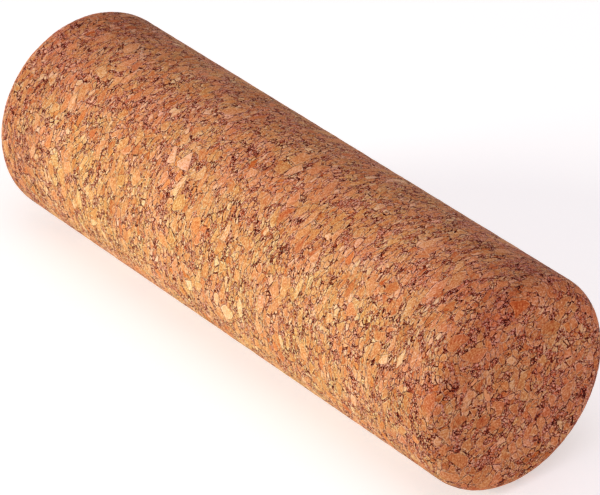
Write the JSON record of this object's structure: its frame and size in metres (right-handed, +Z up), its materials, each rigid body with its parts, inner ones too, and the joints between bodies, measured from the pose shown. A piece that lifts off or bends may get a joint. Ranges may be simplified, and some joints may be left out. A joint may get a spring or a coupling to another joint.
{
  "type": "cork roller",
  "caption": "Solid roller of pressed cork: a plain cylinder with rounded rims and flat ends, lying on its side.",
  "frame": {"origin": "on the surface the roller lies on, below the middle of its length", "axes": "+X along the roller's axis, +Z up"},
  "size_m": [0.3, 0.0958, 0.0959],
  "materials": {
    "cork": "dull pressed cork: tan and orange-brown granules of about 1 to 11 mm, with thin dark red-brown gaps between them"
  },
  "bodies": {
    "root": {"cork_roller": "cork"}
  },
  "joints": []
}
